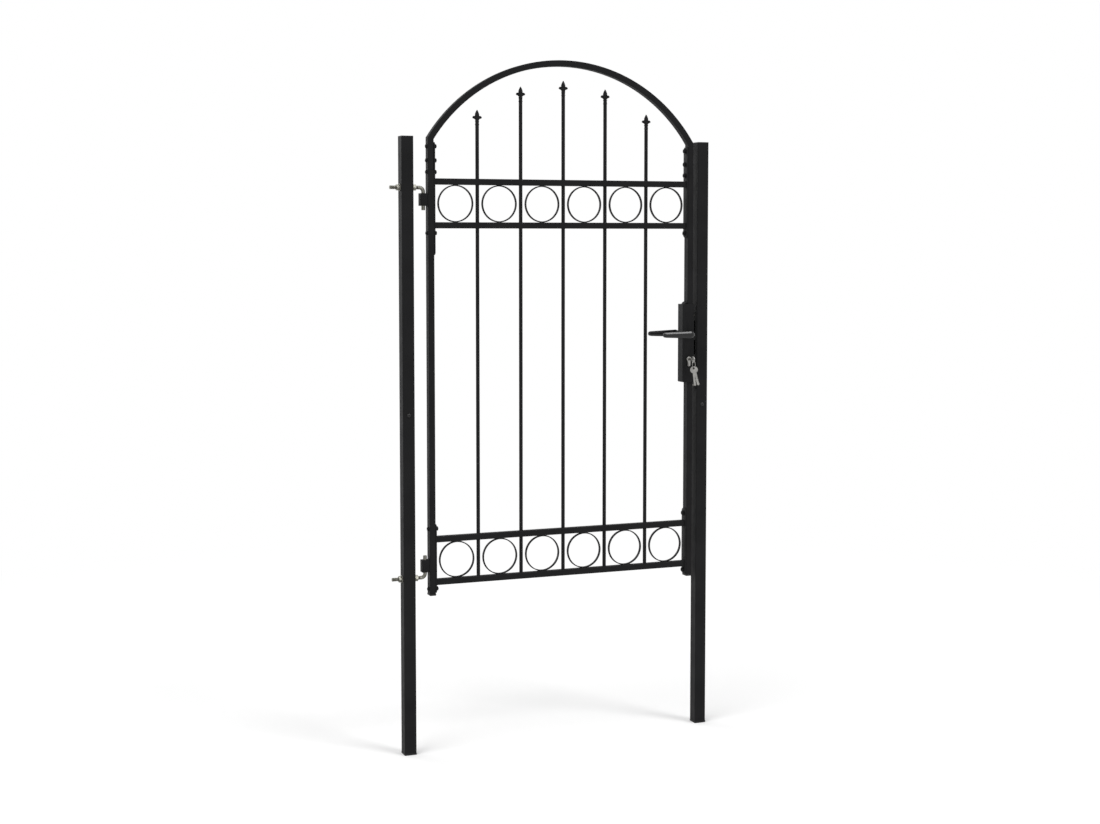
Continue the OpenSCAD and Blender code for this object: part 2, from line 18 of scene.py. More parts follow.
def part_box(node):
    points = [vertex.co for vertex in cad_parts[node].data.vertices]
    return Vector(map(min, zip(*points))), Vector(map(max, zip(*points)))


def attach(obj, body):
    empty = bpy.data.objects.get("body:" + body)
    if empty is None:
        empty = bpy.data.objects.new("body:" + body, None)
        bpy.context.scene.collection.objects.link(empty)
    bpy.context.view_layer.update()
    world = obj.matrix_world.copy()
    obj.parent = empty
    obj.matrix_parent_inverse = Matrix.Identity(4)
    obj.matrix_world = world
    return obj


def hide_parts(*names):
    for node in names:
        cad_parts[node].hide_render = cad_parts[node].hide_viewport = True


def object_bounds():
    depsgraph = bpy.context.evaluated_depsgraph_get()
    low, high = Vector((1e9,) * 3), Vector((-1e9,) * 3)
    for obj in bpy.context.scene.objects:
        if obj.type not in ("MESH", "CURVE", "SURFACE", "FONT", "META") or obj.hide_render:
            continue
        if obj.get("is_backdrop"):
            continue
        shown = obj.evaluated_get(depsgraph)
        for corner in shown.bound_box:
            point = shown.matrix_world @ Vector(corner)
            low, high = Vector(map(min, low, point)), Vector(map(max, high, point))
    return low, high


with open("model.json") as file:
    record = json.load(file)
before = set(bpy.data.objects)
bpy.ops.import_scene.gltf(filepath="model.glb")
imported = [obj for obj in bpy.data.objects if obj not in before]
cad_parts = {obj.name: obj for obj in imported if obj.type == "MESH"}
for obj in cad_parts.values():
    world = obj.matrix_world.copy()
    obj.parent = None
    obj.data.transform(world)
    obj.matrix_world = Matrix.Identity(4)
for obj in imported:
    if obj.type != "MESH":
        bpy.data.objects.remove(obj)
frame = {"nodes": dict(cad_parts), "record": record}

scene = bpy.context.scene
cad_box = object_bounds()
print("CAD nodes:", len(frame["nodes"]), "size:", [round(s, 4) for s in cad_box[1] - cad_box[0]])

# %% [markdown]
# ## Camera
#
# The photograph looks at the gate from the hinge side at about eye height, through a lens of
# medium length. Place, turn and focal length were found by matching the corners of both posts, the
# rails and the arch. A small downward shift keeps the posts nearly upright in the picture, as
# a photographer would do by framing low with a level camera.

# %% Camera
eye = Vector((-1.6657, -5.4206, 1.6796))
turned_right = math.radians(21.726)
tilted_down = math.radians(4.064)
bpy.ops.object.camera_add(location=eye, rotation=(math.pi / 2 - tilted_down, 0, -turned_right))
camera = bpy.context.object
camera.name = "camera"
camera.data.sensor_width = 36
camera.data.lens = 57.82
camera.data.shift_y = -0.045
scene.camera = camera
print("camera at", [round(c, 3) for c in camera.location], "lens", round(camera.data.lens, 2))

# %% [markdown]
# ## Studio light
#
# The gate is pictured on plain white. A white world would do that alone, but it would also flood
# black paint with light. So the world is white only for rays that show it, straight from the camera or
# mirrored in metal, and dimmer for the light that falls on the gate. Two soft suns give the
# faces their different tones: the faces towards the hinge side are the brightest in the photograph.
# A third sun, narrower than the others, draws the lit strip on the bevelled top of the lever.

# %% Studio light
scene.view_settings.view_transform = "Standard"


def showing_rays(tree):
    """A socket that is 1 for rays that show a background: seen straight, mirrored or through glass."""
    rays = tree.nodes.new("ShaderNodeLightPath")
    showing = rays.outputs["Is Camera Ray"]
    for kind in ("Is Glossy Ray", "Is Transmission Ray"):
        either = tree.nodes.new("ShaderNodeMath")
        either.operation = "MAXIMUM"
        tree.links.new(showing, either.inputs[0])
        tree.links.new(rays.outputs[kind], either.inputs[1])
        showing = either.outputs[0]
    return showing


studio = bpy.data.worlds.new("studio")
scene.world = studio
studio.use_nodes = True
sky = studio.node_tree
sky.nodes.clear()
soft_light = sky.nodes.new("ShaderNodeBackground")
soft_light.inputs["Strength"].default_value = 0.5
white_backdrop = sky.nodes.new("ShaderNodeBackground")
white_backdrop.inputs["Strength"].default_value = 1.0
for light in (soft_light, white_backdrop):
    light.inputs["Color"].default_value = (1, 1, 1, 1)
either_sky = sky.nodes.new("ShaderNodeMixShader")
sky_output = sky.nodes.new("ShaderNodeOutputWorld")
sky.links.new(showing_rays(sky), either_sky.inputs["Fac"])
sky.links.new(soft_light.outputs[0], either_sky.inputs[1])
sky.links.new(white_backdrop.outputs[0], either_sky.inputs[2])
sky.links.new(either_sky.outputs[0], sky_output.inputs["Surface"])


def soft_sun(name, strength, height, to_the_left, wide=40):
    """A sun by its height, its turn to the left of straight in front, and its width, in degrees."""
    aim = (math.radians(90 - height), 0, -math.radians(to_the_left))
    bpy.ops.object.light_add(type="SUN", rotation=aim)
    sun = bpy.context.object
    sun.name = name
    sun.data.energy = strength
    sun.data.angle = math.radians(wide)
    print(name, "strength", strength)


soft_sun("key_sun", 1.1, 50, 60)
soft_sun("rim_sun", 0.5, 20, 150)
soft_sun("glint_sun", 0.9, 48, -35, wide=20)

# %% [markdown]
# ## Floor
#
# The floor is a pale sheet that keeps the gate's soft shadow near the feet. A plain sheet would end
# in a grey horizon behind the gate, so with distance its surface turns into a white glow, as a
# photographer's paper sweep does. It belongs to the stage and not to the gate.

# %% Floor
floor_wide = 80
floor_lift = 0.08
gate_middle_x = 0.52
shadow_until, white_from = 1.6, 4.0
bpy.ops.object.select_all(action="DESELECT")
bpy.ops.mesh.primitive_plane_add(size=floor_wide, location=(0, 0, 0))
floor = bpy.context.object
floor.name = "floor"
paper = bpy.data.materials.new("paper_floor")
paper.use_nodes = True
sweep = paper.node_tree
sheet = sweep.nodes["Principled BSDF"]
sheet.inputs["Base Color"].default_value = (0.95, 0.95, 0.95, 1)
sheet.inputs["Roughness"].default_value = 0.9
sheet.inputs["Specular IOR Level"].default_value = 0.0
sheet.inputs["Emission Color"].default_value = (1, 1, 1, 1)
lift = sweep.nodes.new("ShaderNodeMath")
lift.operation = "MULTIPLY"
lift.inputs[1].default_value = floor_lift
sweep.links.new(showing_rays(sweep), lift.inputs[0])
sweep.links.new(lift.outputs[0], sheet.inputs["Emission Strength"])
from_gate = sweep.nodes.new("ShaderNodeTexCoord")
gate_middle = sweep.nodes.new("ShaderNodeMapping")
gate_middle.inputs["Location"].default_value = (-gate_middle_x, 0, 0)
distance = sweep.nodes.new("ShaderNodeVectorMath")
distance.operation = "LENGTH"
fade = sweep.nodes.new("ShaderNodeMapRange")
fade.interpolation_type = "SMOOTHSTEP"
fade.inputs["From Min"].default_value = shadow_until
fade.inputs["From Max"].default_value = white_from
glow = sweep.nodes.new("ShaderNodeEmission")
glow.inputs["Strength"].default_value = 1.0
far_or_near = sweep.nodes.new("ShaderNodeMixShader")
sweep.links.new(from_gate.outputs["Object"], gate_middle.inputs["Vector"])
sweep.links.new(gate_middle.outputs["Vector"], distance.inputs[0])
sweep.links.new(distance.outputs["Value"], fade.inputs["Value"])
sweep.links.new(fade.outputs["Result"], far_or_near.inputs["Fac"])
sweep.links.new(sheet.outputs["BSDF"], far_or_near.inputs[1])
sweep.links.new(glow.outputs["Emission"], far_or_near.inputs[2])
sweep.links.new(far_or_near.outputs[0], sweep.nodes["Material Output"].inputs["Surface"])
floor.data.materials.append(paper)
floor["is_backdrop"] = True
print("floor:", round(floor.dimensions.x), "m wide")

# %% [markdown]
# ## Helpers for finishes
#
# Every finish here is a Principled shader with three things on it: a colour that drifts between
# two close tones, a roughness that drifts too, and a fine relief. All of them come from noise on
# Object coordinates, which are metres on this gate, so a scale of 500 means grains of about two
# millimetres. Nearly all of a noise lies in the middle of its range, so only that part is spread.

# %% Helpers for finishes
finishes = {}
noise_low, noise_high = 0.3, 0.7


def new_finish(slot_name):
    """A new material for one of the record's slots, with its tree, its shader and its coordinates."""
    finish = bpy.data.materials.new(slot_name)
    finish.use_nodes = True
    finishes[slot_name] = finish
    tree = finish.node_tree
    place = tree.nodes.new("ShaderNodeTexCoord").outputs["Object"]
    return tree, tree.nodes["Principled BSDF"], place


def grain(tree, place, scale, detail=3.0, stretch=(1, 1, 1)):
    """Noise of so many grains to the metre, drawn out along an axis where stretch is small."""
    drawn_out = tree.nodes.new("ShaderNodeMapping")
    drawn_out.inputs["Scale"].default_value = stretch
    noise = tree.nodes.new("ShaderNodeTexNoise")
    noise.inputs["Scale"].default_value = scale
    noise.inputs["Detail"].default_value = detail
    tree.links.new(place, drawn_out.inputs["Vector"])
    tree.links.new(drawn_out.outputs["Vector"], noise.inputs["Vector"])
    return noise.outputs["Fac"]


def tones(tree, shader, pattern, dark, light):
    """Let the colour drift between two tones."""
    ramp = tree.nodes.new("ShaderNodeValToRGB")
    ramp.color_ramp.elements[0].position = noise_low
    ramp.color_ramp.elements[0].color = (*dark, 1)
    ramp.color_ramp.elements[1].position = noise_high
    ramp.color_ramp.elements[1].color = (*light, 1)
    tree.links.new(pattern, ramp.inputs["Fac"])
    tree.links.new(ramp.outputs["Color"], shader.inputs["Base Color"])


def sheen_between(tree, shader, pattern, smooth, rough):
    """Let the roughness drift between two values."""
    spread = tree.nodes.new("ShaderNodeMapRange")
    spread.inputs["From Min"].default_value = noise_low
    spread.inputs["From Max"].default_value = noise_high
    spread.inputs["To Min"].default_value = smooth
    spread.inputs["To Max"].default_value = rough
    tree.links.new(pattern, spread.inputs["Value"])
    tree.links.new(spread.outputs["Result"], shader.inputs["Roughness"])


def relief(tree, shader, pattern, depth, strength):
    """Raise and sink the surface by a pattern, depth in metres."""
    bump = tree.nodes.new("ShaderNodeBump")
    bump.inputs["Distance"].default_value = depth
    bump.inputs["Strength"].default_value = strength
    tree.links.new(pattern, bump.inputs["Height"])
    tree.links.new(bump.outputs["Normal"], shader.inputs["Normal"])


print("helpers ready")

# %% [markdown]
# ## Black powder coat
#
# Powder coat is paint melted onto the steel in an oven. It is an even satin black, and close up it
# has the soft dimples of orange peel. The black is nearly all reflection, so the colour is
# written very dark and a low specular level keeps the front faces as deep as in the photograph.
# A fairly high roughness keeps faces that are seen at a slant from turning pale.

# %% Black powder coat
tree, shader, place = new_finish("black_powder_coat")
tones(tree, shader, grain(tree, place, 9), (0.0080, 0.0080, 0.0085), (0.0120, 0.0120, 0.0126))
sheen_between(tree, shader, grain(tree, place, 30), 0.52, 0.62)
relief(tree, shader, grain(tree, place, 650, detail=2.0), 0.0002, 0.07)
shader.inputs["Specular IOR Level"].default_value = 0.09
print("finish:", finishes["black_powder_coat"].name)

# %% [markdown]
# ## Black plastic
#
# The caps, feet and stile ends are moulded in black plastic. It is duller than the coat beside it, with
# the fine sandy grain of a blasted mould.

# %% Black plastic
tree, shader, place = new_finish("black_plastic")
tones(tree, shader, grain(tree, place, 15), (0.009, 0.009, 0.009), (0.014, 0.014, 0.014))
sheen_between(tree, shader, grain(tree, place, 120), 0.5, 0.62)
relief(tree, shader, grain(tree, place, 2200, detail=1.0), 0.0002, 0.3)
shader.inputs["Specular IOR Level"].default_value = 0.25
print("finish:", finishes["black_plastic"].name)

# %% [markdown]
# ## Zinc plate
#
# Pintles, nuts and washers are zinc plated: a dull grey metal with a faint yellow cast that comes and
# goes, and small cloudy patches where the plating is rougher.

# %% Zinc plate
tree, shader, place = new_finish("zinc_plated_steel")
tones(tree, shader, grain(tree, place, 70, detail=4.0), (0.15, 0.147, 0.124), (0.26, 0.255, 0.230))
sheen_between(tree, shader, grain(tree, place, 220), 0.30, 0.50)
relief(tree, shader, grain(tree, place, 1500, detail=2.0), 0.0002, 0.2)
shader.inputs["Metallic"].default_value = 1.0
print("finish:", finishes["zinc_plated_steel"].name)

# %% [markdown]
# ## Nickel plate
#
# Keys, ring, cylinder and forend are nickel plated and bright, brushed before plating. Brush
# lines are noise drawn out along one direction, here upright, by a small stretch on the Z axis.

# %% Nickel plate
tree, shader, place = new_finish("nickel_plate")
tones(tree, shader, grain(tree, place, 50), (0.25, 0.247, 0.235), (0.37, 0.365, 0.348))
brushed = grain(tree, place, 1800, detail=2.0, stretch=(1, 1, 0.04))
sheen_between(tree, shader, brushed, 0.22, 0.36)
relief(tree, shader, brushed, 0.0001, 0.12)
shader.inputs["Metallic"].default_value = 1.0
print("finish:", finishes["nickel_plate"].name)

# %% [markdown]
# ## Lever coat
#
# Both levers are cast metal under a dark coat with a clear lacquer, so they show a lighter strip
# along the bevelled top edge. A coat layer on the shader gives that second, sharper reflection.
# The domed screws of the posts have the same coat.

# %% Lever coat
tree, shader, place = new_finish("lever_metal")
tones(tree, shader, grain(tree, place, 40), (0.006, 0.006, 0.0065), (0.010, 0.010, 0.0106))
sheen_between(tree, shader, grain(tree, place, 160), 0.22, 0.30)
relief(tree, shader, grain(tree, place, 900, detail=2.0), 0.0002, 0.02)
shader.inputs["Specular IOR Level"].default_value = 0.13
shader.inputs["Coat Weight"].default_value = 0.45
shader.inputs["Coat Roughness"].default_value = 0.12
print("finish:", finishes["lever_metal"].name)

# %% [markdown]
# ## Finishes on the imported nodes
#
# The record says which slot each CAD node takes its finish from, so the tubes, rails, pickets and
# arch are painted in one short loop.

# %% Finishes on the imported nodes
for part in frame["record"]["subparts"]:
    mesh = frame["nodes"][part["node"]].data
    mesh.materials.clear()
    mesh.materials.append(finishes[part["material_slot"]])

# %% [markdown]
# ## Helpers for modelling
#
# Modelling by hand in Blender is a round of small moves: pick one object, open it in edit mode, choose
# some faces or edges, act on them, close it, apply a modifier. These helpers are those moves.
# Faces and edges are chosen by a test on their place and direction, as one would click them.

# %% Helpers for modelling
def pick(piece, *others):
    """Make one object the whole selection, or a few with the first one active."""
    bpy.ops.object.select_all(action="DESELECT")
    for chosen in (piece, *others):
        chosen.select_set(True)
    bpy.context.view_layer.objects.active = piece


def join(piece, *others):
    """Join other objects into a piece."""
    pick(piece, *others)
    bpy.ops.object.join()


def open_edit(piece):
    """Open one object in edit mode."""
    pick(piece)
    bpy.ops.object.mode_set(mode="EDIT")


def close_edit():
    """Go back to object mode."""
    bpy.ops.object.mode_set(mode="OBJECT")


def choose(kind, test):
    """Select the VERT, EDGE or FACE items of the open mesh whose place and direction pass a test."""
    bpy.ops.mesh.select_mode(type=kind)
    bpy.ops.mesh.select_all(action="DESELECT")
    mesh = bmesh.from_edit_mesh(bpy.context.edit_object.data)
    mesh.normal_update()
    if kind == "FACE":
        found = [f for f in mesh.faces if test(f.calc_center_median(), f.normal)]
    elif kind == "EDGE":
        spans = [(e, e.verts[0].co, e.verts[1].co) for e in mesh.edges]
        found = [e for e, a, b in spans if test((a + b) / 2, (b - a).normalized())]
    else:
        found = [v for v in mesh.verts if test(v.co, v.normal)]
    for item in found:
        item.select_set(True)
    mesh.select_flush_mode()
    bmesh.update_edit_mesh(bpy.context.edit_object.data)
    return len(found)


def modify(piece, kind, **values):
    """Add a modifier, set its values and apply it."""
    pick(piece)
    bpy.ops.object.modifier_add(type=kind)
    modifier = piece.modifiers[-1]
    for name, value in values.items():
        setattr(modifier, name, value)
    bpy.ops.object.modifier_apply(modifier=modifier.name)


def combine(piece, tool, operation):
    """A Boolean with a tool that is used up by it."""
    modify(piece, "BOOLEAN", object=tool, operation=operation, solver="EXACT")
    bpy.data.objects.remove(tool)


def block(size, place):
    """A box of a size, its middle at a place."""
    bpy.ops.object.select_all(action="DESELECT")
    bpy.ops.mesh.primitive_cube_add(size=1, location=place, scale=size)
    bpy.ops.object.transform_apply(location=False, rotation=False, scale=True)
    return bpy.context.object


def settle(piece, name, body, slot_name, stands_for=(), crease=35):
    """Put a piece's place into its mesh, shade it, name it, paint it and let it ride on its body."""
    pick(piece)
    bpy.ops.object.transform_apply(location=True, rotation=True, scale=True)
    bpy.ops.object.shade_smooth_by_angle(angle=math.radians(crease))
    piece.name = name
    piece.data.name = name
    piece.data.materials.clear()
    piece.data.materials.append(finishes[slot_name])
    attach(piece, body)
    if stands_for:
        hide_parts(*stands_for)
    print(name, "has", len(piece.data.polygons), "faces")


def copies(pattern, places):
    """Join a copy of the pattern at each (place, turn), and use the pattern up."""
    made = []
    for place, turn in places:
        pick(pattern)
        bpy.ops.object.duplicate()
        copy = bpy.context.object
        copy.location = place
        copy.rotation_euler = turn
        made.append(copy)
    pick(*made)
    bpy.ops.object.transform_apply(location=True, rotation=True, scale=True)
    bpy.ops.object.join()
    bpy.data.objects.remove(pattern)
    return bpy.context.object


print("helpers ready")

# %% [markdown]
# ## Paths and turned pieces
#
# Nuts, washers, rings, screw heads, weld beads and the necks of the finials are all round, so they are
# turned as on a lathe: half of the outline is drawn as a path, one vertex extruded from point to
# point, and spun round the Z axis.

# %% Paths and turned pieces
def path(points):
    """A line of edges through some points: one vertex, extruded from point to point."""
    bpy.ops.object.select_all(action="DESELECT")
    bpy.ops.mesh.primitive_plane_add(size=0.01, location=(0, 0, 0))
    line = bpy.context.object
    bpy.ops.object.mode_set(mode="EDIT")
    bpy.ops.mesh.select_mode(type="VERT")
    bpy.ops.mesh.merge(type="CENTER")
    bpy.ops.transform.translate(value=points[0])
    for here, there in zip(points, points[1:]):
        step = Vector(there) - Vector(here)
        bpy.ops.mesh.extrude_region_move(TRANSFORM_OT_translate={"value": step})
    close_edit()
    return line


def tidy_shell(piece):
    """Merge what meets and turn every face outwards."""
    open_edit(piece)
    bpy.ops.mesh.select_all(action="SELECT")
    bpy.ops.mesh.remove_doubles(threshold=0.000004)
    bpy.ops.mesh.normals_make_consistent(inside=False)
    close_edit()


def lathe(outline, steps=32):
    """Turn an outline of (radius, height) points round the Z axis."""
    turned = path([(radius, 0, height) for radius, height in outline])
    open_edit(turned)
    bpy.ops.mesh.select_all(action="SELECT")
    bpy.ops.mesh.spin(steps=steps, angle=2 * math.pi, center=(0, 0, 0), axis=(0, 0, 1))
    close_edit()
    tidy_shell(turned)
    return turned


print("path and lathe ready")

# %% [markdown]
# ## Caps and feet
#
# Each post is closed by a thin flat cap and stands in a foot, and each stile has a small cap
# underneath. They are one moulding in three sizes: a plate with rounded rims, and a plug that grips
# inside the tube. A box with a bevel would look the same from outside, but the inset and extruded
# plug shows how the cap really holds.

# %% Caps and feet
tube_corner = 0.003


def tube_end(node, tube, name, body, wall, rim):
    """A plate that closes a tube's end, with its plug, in the place of a CAD node."""
    low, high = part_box(node)
    tube_low, tube_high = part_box(tube)
    on_top = high.z > tube_high.z
    seam = tube_high.z if on_top else tube_low.z
    outer, plug_end = (high.z, low.z) if on_top else (low.z, high.z)
    out = 1 if on_top else -1
    middle = Vector(((low.x + high.x) / 2, (low.y + high.y) / 2, (outer + seam) / 2))
    plate = abs(outer - seam)
    cap = block((high.x - low.x, high.y - low.y, plate), middle)
    open_edit(cap)
    choose("EDGE", lambda at, way: abs(way.z) > 0.9)
    bpy.ops.mesh.bevel(offset=tube_corner, segments=5, affect="EDGES")
    choose("EDGE", lambda at, way: at.z * out > 0.49 * plate and abs(way.z) < 0.1)
    bpy.ops.mesh.bevel(offset=rim, segments=3, affect="EDGES")
    choose("FACE", lambda at, normal: normal.z * out < -0.9)
    bpy.ops.mesh.inset(thickness=wall)
    bpy.ops.mesh.extrude_region_move(TRANSFORM_OT_translate={"value": (0, 0, plug_end - seam)})
    close_edit()
    settle(cap, name, body, "black_plastic", [node])


for tube in ("hinge_post", "lock_post"):
    tube_end(tube + "_cap", tube, tube + "_top", "posts", wall=0.0022, rim=0.0010)
for tube in ("hinge_post", "lock_post"):
    tube_end(tube + "_foot", tube, tube + "_shoe", "posts", wall=0.0028, rim=0.0016)
for tube in ("hinge_stile", "lock_stile"):
    tube_end(tube + "_cap", tube, tube + "_end", "leaf", wall=0.0032, rim=0.0022)

# %% [markdown]
# ## Cast finials
#
# The spear tops are cast: a neck with two rings, a pointed blade and two side leaves that droop
# outwards and melt into it. Blade and neck are turned on the lathe, and each leaf is two squashed
# spheres. Joined, remeshed into even small squares and relaxed, they flow into one form without
# creases, as sand casting and paint leave it.

# %% Cast finials
finial_tall = 0.049
neck_outline = [(0, -0.0220), (0.0085, -0.0262), (0.0078, -0.0300), (0.0058, -0.0338),
                (0.0056, -0.0350), (0.0070, -0.0358), (0.0073, -0.0368), (0.0068, -0.0378),
                (0.0057, -0.0388), (0.0063, -0.0425), (0.0057, -0.0458), (0.0068, -0.0468),
                (0.0073, -0.0478), (0.0069, -0.0488), (0.0058, -0.0496), (0.0058, -0.0520), (0, -0.0520)]
blade_outline = [(0, 0), (0.0010, -0.0004), (0.0020, -0.0024), (0.0040, -0.0060), (0.0060, -0.0105),
                 (0.0074, -0.0150), (0.0074, -0.0185), (0.0066, -0.0230), (0.0058, -0.0280), (0, -0.0310)]
blade_flatness = 0.7
leaf_droop = math.radians(22)
leaf_spheres = [(0.0106, -0.0243, (0.0056, 0.0042, 0.0044)), (0.0060, -0.0268, (0.0050, 0.0044, 0.0042))]

finial = lathe(neck_outline)
blade = lathe(blade_outline)
blade.scale.y = blade_flatness
for side in (-1, 1):
    for out, height, size in leaf_spheres:
        bpy.ops.object.select_all(action="DESELECT")
        bpy.ops.mesh.primitive_uv_sphere_add(segments=32, ring_count=16, location=(side * out, 0, height),
                                             rotation=(0, side * leaf_droop, 0), scale=size)
        join(finial, bpy.context.object)
join(finial, blade)
modify(finial, "REMESH", mode="VOXEL", voxel_size=0.0007)
modify(finial, "SMOOTH", factor=0.5, iterations=4)
upright = (0, 0, 0)
picket_boxes = [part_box(f"picket_{number}") for number in range(1, 6)]
finial_places = [(((low.x + high.x) / 2, 0, high.z + finial_tall), upright) for low, high in picket_boxes]
settle(copies(finial, finial_places), "cast_finials", "leaf", "black_powder_coat", ["finials"], crease=60)

# %% [markdown]
# ## Rolled rings
#
# Each ring is flat bar rolled into a circle. The CAD rings have the right place and reach, but at close
# range their flat faces show. Turned on the lathe in fine steps, with the edges of the bar just
# broken, they stay round.

# %% Rolled rings
across_y = (math.pi / 2, 0, 0)
ring_hole = 0.0564
rings_in_row = 6
bar_edge = 0.0004


def ring_middles(row):
    """Where the rings of a row stand along the gate."""
    low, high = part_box(row)
    reach = (high.z - low.z) / 2
    first, last = low.x + reach, high.x - reach
    return [first + (last - first) * number / (rings_in_row - 1) for number in range(rings_in_row)]


def rolled_rings(row, name):
    """Rings of flat bar in the place of a CAD row."""
    low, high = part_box(row)
    reach, half = (high.z - low.z) / 2, (high.y - low.y) / 2
    bar = [(ring_hole, bar_edge - half), (ring_hole + bar_edge, -half),
           (reach - bar_edge, -half), (reach, bar_edge - half)]
    bar += [(radius, -height) for radius, height in reversed(bar)] + bar[:1]
    places = [((x, 0, (low.z + high.z) / 2), across_y) for x in ring_middles(row)]
    settle(copies(lathe(bar, steps=144), places), name, "leaf", "black_powder_coat", [row])


rolled_rings("lower_rings", "lower_ring_row")
rolled_rings("upper_rings", "upper_ring_row")

# %% [markdown]
# ## Softened plates and blocks
#
# Sheared plates and sawn blocks leave the CAD model with knife edges. On the real gate the edges are
# dressed and the coat rounds them further, so they catch a thin line of light. A copy of each is
# merged, its flat triangles are dissolved into whole faces, and a narrow bevel goes round every
# sharp edge. The sheet of the lock case is bent at its lower hinge-side corner, so its copy is also
# cut back to a box with that corner rounded.

# %% Softened plates and blocks
def cad_copy(node):
    """A copy of a CAD node's mesh, with its loose triangles merged."""
    copy = bpy.data.objects.new(node + "_copy", frame["nodes"][node].data.copy())
    scene.collection.objects.link(copy)
    open_edit(copy)
    bpy.ops.mesh.select_all(action="SELECT")
    bpy.ops.mesh.remove_doubles(threshold=0.000005)
    close_edit()
    return copy


def soften(node, name, body, slot_name, width, within=None):
    """Stand a copy of a CAD node with rounded edges in its place, cut back to a shape if one is given."""
    copy = cad_copy(node)
    open_edit(copy)
    bpy.ops.mesh.select_all(action="SELECT")
    bpy.ops.mesh.dissolve_limited(angle_limit=math.radians(0.5))
    close_edit()
    if within:
        combine(copy, within, "INTERSECT")
    modify(copy, "BEVEL", width=width, segments=2, limit_method="ANGLE",
           angle_limit=math.radians(40), use_clamp_overlap=True)
    settle(copy, name, body, slot_name, [node], crease=50)


for where in ("upper_hinge", "upper_lock", "lower_hinge", "lower_lock"):
    soften(where + "_plate", where + "_end_plate", "leaf", "black_powder_coat", 0.0005)
for where in ("upper", "lower"):
    soften(where + "_hinge_block", where + "_hinge_eye", "leaf", "black_powder_coat", 0.0012)
case_corner = 0.005
case_low, case_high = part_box("lock_case")
bent_case = block(case_high - case_low, (case_low + case_high) / 2)
open_edit(bent_case)
choose("EDGE", lambda at, way: at.x < 0 and at.z < 0 and abs(way.y) > 0.9)
bpy.ops.mesh.bevel(offset=case_corner, segments=6, affect="EDGES")
close_edit()
soften("lock_case", "lock_box", "leaf", "black_powder_coat", 0.0012, within=bent_case)
soften("lock_forend", "lock_face", "leaf", "nickel_plate", 0.0004)
soften("lock_bolts", "lock_bolt_heads", "leaf", "nickel_plate", 0.0005)
soften("lock_cylinder", "cylinder_body", "leaf", "nickel_plate", 0.0005)
soften("strike_plate", "strike_keep", "posts", "black_powder_coat", 0.0005)

# %% [markdown]
# ## Pintles
#
# A pintle is a bar bent into an L. Its rod goes through the post and is held by a nut on each face,
# and its upright pin carries the leaf. The rod is threaded so that the gate can be set straight. One
# tooth of the thread is drawn as a short path, and the Screw modifier winds it along the rod; a bump
# texture would leave the rod's outline smooth. The plain end is a circle that is extruded, spun
# round the bend and extruded again.

# %% Pintles
rod_radius = 0.006
thread_pitch = 0.00175
thread_depth = 0.00095
crest_start, crest_end = 0.42 * thread_pitch, 0.58 * thread_pitch
thread_end = 0.039
bend_radius = 0.013
pin_chamfer = 0.0012


def threaded_rod(start, end):
    """A length of thread along X, cut square at both ends."""
    root = rod_radius - thread_depth
    tooth = [(0, 0, root), (crest_start, 0, rod_radius), (crest_end, 0, rod_radius), (thread_pitch, 0, root)]
    rod = path(tooth)
    turns = math.ceil((end - start) / thread_pitch) + 2
    modify(rod, "SCREW", axis="X", screw_offset=thread_pitch, iterations=turns, steps=24, render_steps=24,
           use_merge_vertices=True, merge_threshold=0.000004)
    tidy_shell(rod)
    rod.location.x = start - thread_pitch
    pick(rod)
    bpy.ops.object.transform_apply(location=True)
    open_edit(rod)
    for cut, keeps in ((start, 1), (end, -1)):
        bpy.ops.mesh.select_all(action="SELECT")
        bpy.ops.mesh.bisect(plane_co=(cut, 0, 0), plane_no=(keeps, 0, 0), use_fill=True, clear_inner=True)
    close_edit()
    return rod


def pintle(node, name, up):
    """An L of round bar with a threaded tail; up is 1 where its pin stands and -1 where it hangs."""
    low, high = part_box(node)
    pin_x = high.x - rod_radius
    rod_z = low.z + rod_radius if up > 0 else high.z - rod_radius
    pin_end = high.z if up > 0 else low.z
    bpy.ops.object.select_all(action="DESELECT")
    bpy.ops.mesh.primitive_circle_add(vertices=32, radius=rod_radius, fill_type="NGON",
                                      location=(thread_end, 0, 0), rotation=(0, math.pi / 2, 0))
    bar = bpy.context.object
    bpy.ops.object.transform_apply(location=True, rotation=True)
    open_edit(bar)
    bpy.ops.mesh.select_all(action="SELECT")
    run = pin_x - bend_radius - thread_end
    bpy.ops.mesh.extrude_region_move(TRANSFORM_OT_translate={"value": (run, 0, 0)})
    bpy.ops.mesh.spin(steps=12, angle=-up * math.pi / 2, axis=(0, -1, 0),
                      center=(pin_x - bend_radius, 0, up * bend_radius))
    rise = pin_end - rod_z - up * bend_radius
    bpy.ops.mesh.extrude_region_move(TRANSFORM_OT_translate={"value": (0, 0, rise)})
    close_edit()
    tidy_shell(bar)
    open_edit(bar)
    tip = pin_end - rod_z
    choose("EDGE", lambda at, way: abs(at.z - tip) < 0.0001 and abs(way.z) < 0.1)
    bpy.ops.mesh.bevel(offset=pin_chamfer, segments=3, affect="EDGES")
    close_edit()
    join(bar, threaded_rod(low.x, thread_end))
    bar.location.z = rod_z
    settle(bar, name, "posts", "zinc_plated_steel", [node])


pintle("lower_pintle", "lower_pintle_bar", 1)
pintle("upper_pintle", "upper_pintle_bar", -1)

# %% [markdown]
# ## Nuts and washers on the pintles
#
# A nut is a hexagon whose corners are turned off on both faces. A bevel would cut all edges alike, so
# the hexagon is intersected with a turned barrel instead, which gives the curved chamfers of a real
# nut and its hole at once. A washer is turned on the lathe with its stamped edge rounded.

